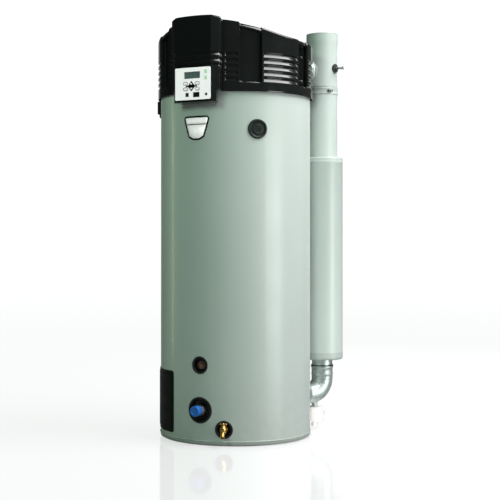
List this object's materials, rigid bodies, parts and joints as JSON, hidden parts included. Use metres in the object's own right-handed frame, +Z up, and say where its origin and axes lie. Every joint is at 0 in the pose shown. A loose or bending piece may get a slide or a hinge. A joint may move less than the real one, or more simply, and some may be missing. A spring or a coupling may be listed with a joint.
{
  "type": "condensing gas storage water heater",
  "caption": "Floor-standing condensing gas storage water heater: round jacketed tank, ribbed hood with control panel, and an insulated external flue riser with a concentric socket.",
  "frame": {"origin": "on the floor at the tank's vertical axis, on the flat bottom of the base pan", "axes": "+Z up, front of the heater towards -Y, flue riser at the back towards +X and +Y"},
  "size_m": [0.7901, 0.8977, 1.926],
  "materials": {
    "jacket_paint": "satin grey-green powder coat",
    "foam": "rigid polyurethane foam",
    "tank_steel": "enamelled steel tank",
    "collar_black": "moulded rubber grommet",
    "heat_steel": "heat-tinted steel",
    "anode_metal": "sacrificial anode metal",
    "burner_steel": "stainless burner tube",
    "cast_alloy": "die-cast aluminium",
    "zinc_steel": "zinc-plated fasteners",
    "fan_grey": "pressed fan wheel",
    "motor_black": "motor cover",
    "valve_body": "die-cast valve body",
    "gas_pipe": "yellow gas pipe",
    "ceramic": "glazed ceramic insulator",
    "plate_steel": "steel cover plate",
    "cover_black": "black moulded cover",
    "plug_blue": "blue moulded transit plug",
    "sensor_brass": "brass pocket",
    "cap_grey": "dark grey blanking cap",
    "valve_brass": "brass drain cock",
    "hood_black": "gloss black moulded hood",
    "gland_grey": "nylon cable gland",
    "fascia_white": "white fascia",
    "display_glass": "liquid crystal display window",
    "board_green": "circuit board",
    "bezel_black": "black keypad surround",
    "key_silver": "pale keys",
    "key_grey": "grey keys",
    "switch_black": "rocker switch",
    "socket_black": "service socket and fuse cap",
    "lamp_green": "green status lenses",
    "badge_white": "blank name plate",
    "flue_aluminium": "aluminium flue pipe",
    "seal_rubber": "silicone and fibre seals",
    "pipe_paint": "grey-green painted pipe",
    "nipple_grey": "test point pin",
    "cap_white": "test point cap",
    "siphon_white": "moulded condensate trap"
  },
  "bodies": {
    "heater": {"base_pan": "jacket_paint", "jacket": "jacket_paint", "insulation_foam": "foam", "tank_shell": "tank_steel", "tank_heads": "tank_steel", "tank_nipples": "tank_steel", "port_collars": "collar_black", "combustion_chamber": "heat_steel", "heat_exchanger_coil": "heat_steel", "flue_header": "heat_steel", "anode_rods": "anode_metal", "burner": "burner_steel", "burner_plate": "cast_alloy", "flange_bolts": "zinc_steel", "fan_housing": "cast_alloy", "fan_motor": "motor_black", "venturi_mixer": "cast_alloy", "gas_valve": "valve_body", "gas_pipe": "gas_pipe", "ignition_electrodes": "ceramic", "handhole_neck": "tank_steel", "handhole_plate": "plate_steel", "inspection_cover": "cover_black", "lower_sensor": "sensor_brass", "relief_port_cap": "cap_grey", "drain_valve_body": "valve_brass", "hood_front": "hood_black", "hood_rear": "hood_black", "hood_screws": "zinc_steel", "cable_entry_box": "hood_black", "cable_glands": "gland_grey", "control_housing": "hood_black", "fascia": "fascia_white", "display_module": "display_glass", "controller_board": "board_green", "keypad_bezel": "bezel_black", "panel_sockets": "socket_black", "status_lamps": "lamp_green", "badge": "badge_white", "flue_elbow": "flue_aluminium", "seals": "seal_rubber", "flue_pipe": "flue_aluminium", "sleeve_shell": "pipe_paint", "air_pipe": "pipe_paint", "air_adaptor": "pipe_paint", "adaptor_clamp": "pipe_paint", "air_duct": "flue_aluminium", "test_nipple": "nipple_grey", "siphon": "siphon_white"},
    "cold_plug": {"cold_inlet_plug": "plug_blue"},
    "drain_handle": {"drain_valve_handle": "valve_brass"},
    "test_point_cap": {"test_cap": "cap_white"},
    "impeller": {"fan_impeller": "fan_grey"},
    "up_key": {"button_up": "key_silver"},
    "down_key": {"button_down": "key_silver"},
    "menu_key": {"button_menu": "key_grey"},
    "reset_key": {"button_reset": "key_grey"},
    "back_key": {"button_back": "key_grey"},
    "enter_key": {"button_enter": "key_grey"},
    "rocker": {"power_switch": "switch_black"}
  },
  "joints": [
    {"name": "cold_plug_pull", "type": "slide", "parent": "heater", "child": "cold_plug", "axis": [0, -1, 0], "range_m": [0, 0.06]},
    {"name": "drain_handle_turn", "type": "hinge", "parent": "heater", "child": "drain_handle", "pos_m": [0.11993, -0.35636, 0.104], "axis": [0, 0, 1], "range_deg": [0, 90]},
    {"name": "test_cap_pull", "type": "slide", "parent": "heater", "child": "test_point_cap", "axis": [0.9816, -0.1908, 0], "range_m": [0, 0.04]},
    {"name": "fan_spin", "type": "hinge", "parent": "heater", "child": "impeller", "pos_m": [0, 0, 1.658], "axis": [0, 1, 0], "continuous": true},
    {"name": "up_key_press", "type": "slide", "parent": "heater", "child": "up_key", "axis": [0, 1, 0], "range_m": [0, 0.001], "stiffness_N_per_m": 600, "springref_m": -0.0005},
    {"name": "down_key_press", "type": "slide", "parent": "heater", "child": "down_key", "axis": [0, 1, 0], "range_m": [0, 0.001], "stiffness_N_per_m": 600, "springref_m": -0.0005},
    {"name": "menu_key_press", "type": "slide", "parent": "heater", "child": "menu_key", "axis": [0, 1, 0], "range_m": [0, 0.001], "stiffness_N_per_m": 600, "springref_m": -0.0005},
    {"name": "reset_key_press", "type": "slide", "parent": "heater", "child": "reset_key", "axis": [0, 1, 0], "range_m": [0, 0.001], "stiffness_N_per_m": 600, "springref_m": -0.0005},
    {"name": "back_key_press", "type": "slide", "parent": "heater", "child": "back_key", "axis": [0, 1, 0], "range_m": [0, 0.001], "stiffness_N_per_m": 600, "springref_m": -0.0005},
    {"name": "enter_key_press", "type": "slide", "parent": "heater", "child": "enter_key", "axis": [0, 1, 0], "range_m": [0, 0.001], "stiffness_N_per_m": 600, "springref_m": -0.0005},
    {"name": "power_switch_rock", "type": "hinge", "parent": "heater", "child": "rocker", "pos_m": [-0.028, -0.4135, 1.5625], "axis": [1, 0, 0], "range_deg": [0, 16]}
  ]
}
